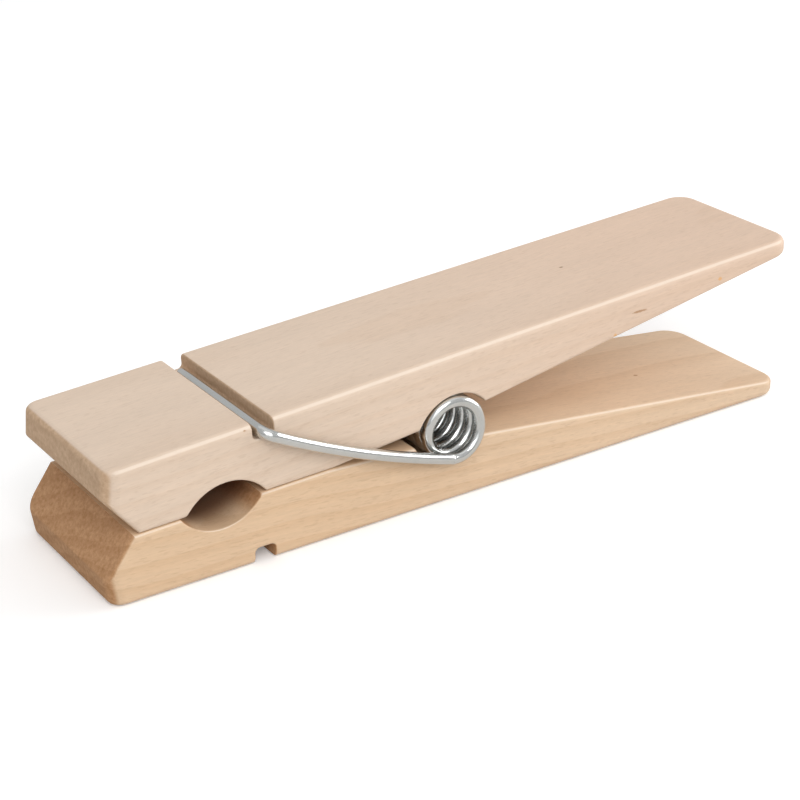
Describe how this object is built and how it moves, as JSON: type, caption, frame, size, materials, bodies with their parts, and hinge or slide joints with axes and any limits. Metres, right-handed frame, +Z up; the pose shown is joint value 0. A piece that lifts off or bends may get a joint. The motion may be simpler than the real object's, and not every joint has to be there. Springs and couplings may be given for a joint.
{
  "type": "spring clothespin",
  "caption": "Jumbo wooden spring clothespin: two profile-milled legs that pivot on the coil of a wire torsion spring, with a round line hole and flat gripping jaws.",
  "frame": {"origin": "middle of the clothespin's length and width, on the surface it lies on, which touches the flat outer face of the lower leg", "axes": "+X along the lower leg from the jaws to the finger ends, +Y across the width, +Z up through the two legs"},
  "size_m": [0.1521, 0.0378, 0.034],
  "materials": {
    "lower_wood": "bare sanded birch",
    "upper_wood": "bare sanded birch",
    "spring_steel": "bright zinc-plated spring wire"
  },
  "bodies": {
    "lower": {"lower_leg": "lower_wood", "spring": "spring_steel"},
    "upper": {"upper_leg": "upper_wood"}
  },
  "joints": [
    {"name": "jaw_hinge", "type": "hinge", "parent": "lower", "child": "upper", "pos_m": [-0.0066, 0, 0.01458], "axis": [0, 1, 0], "range_deg": [0, 19], "stiffness_Nm_per_rad": 0.43, "springref_deg": -74.48, "deforming": ["spring"]}
  ]
}
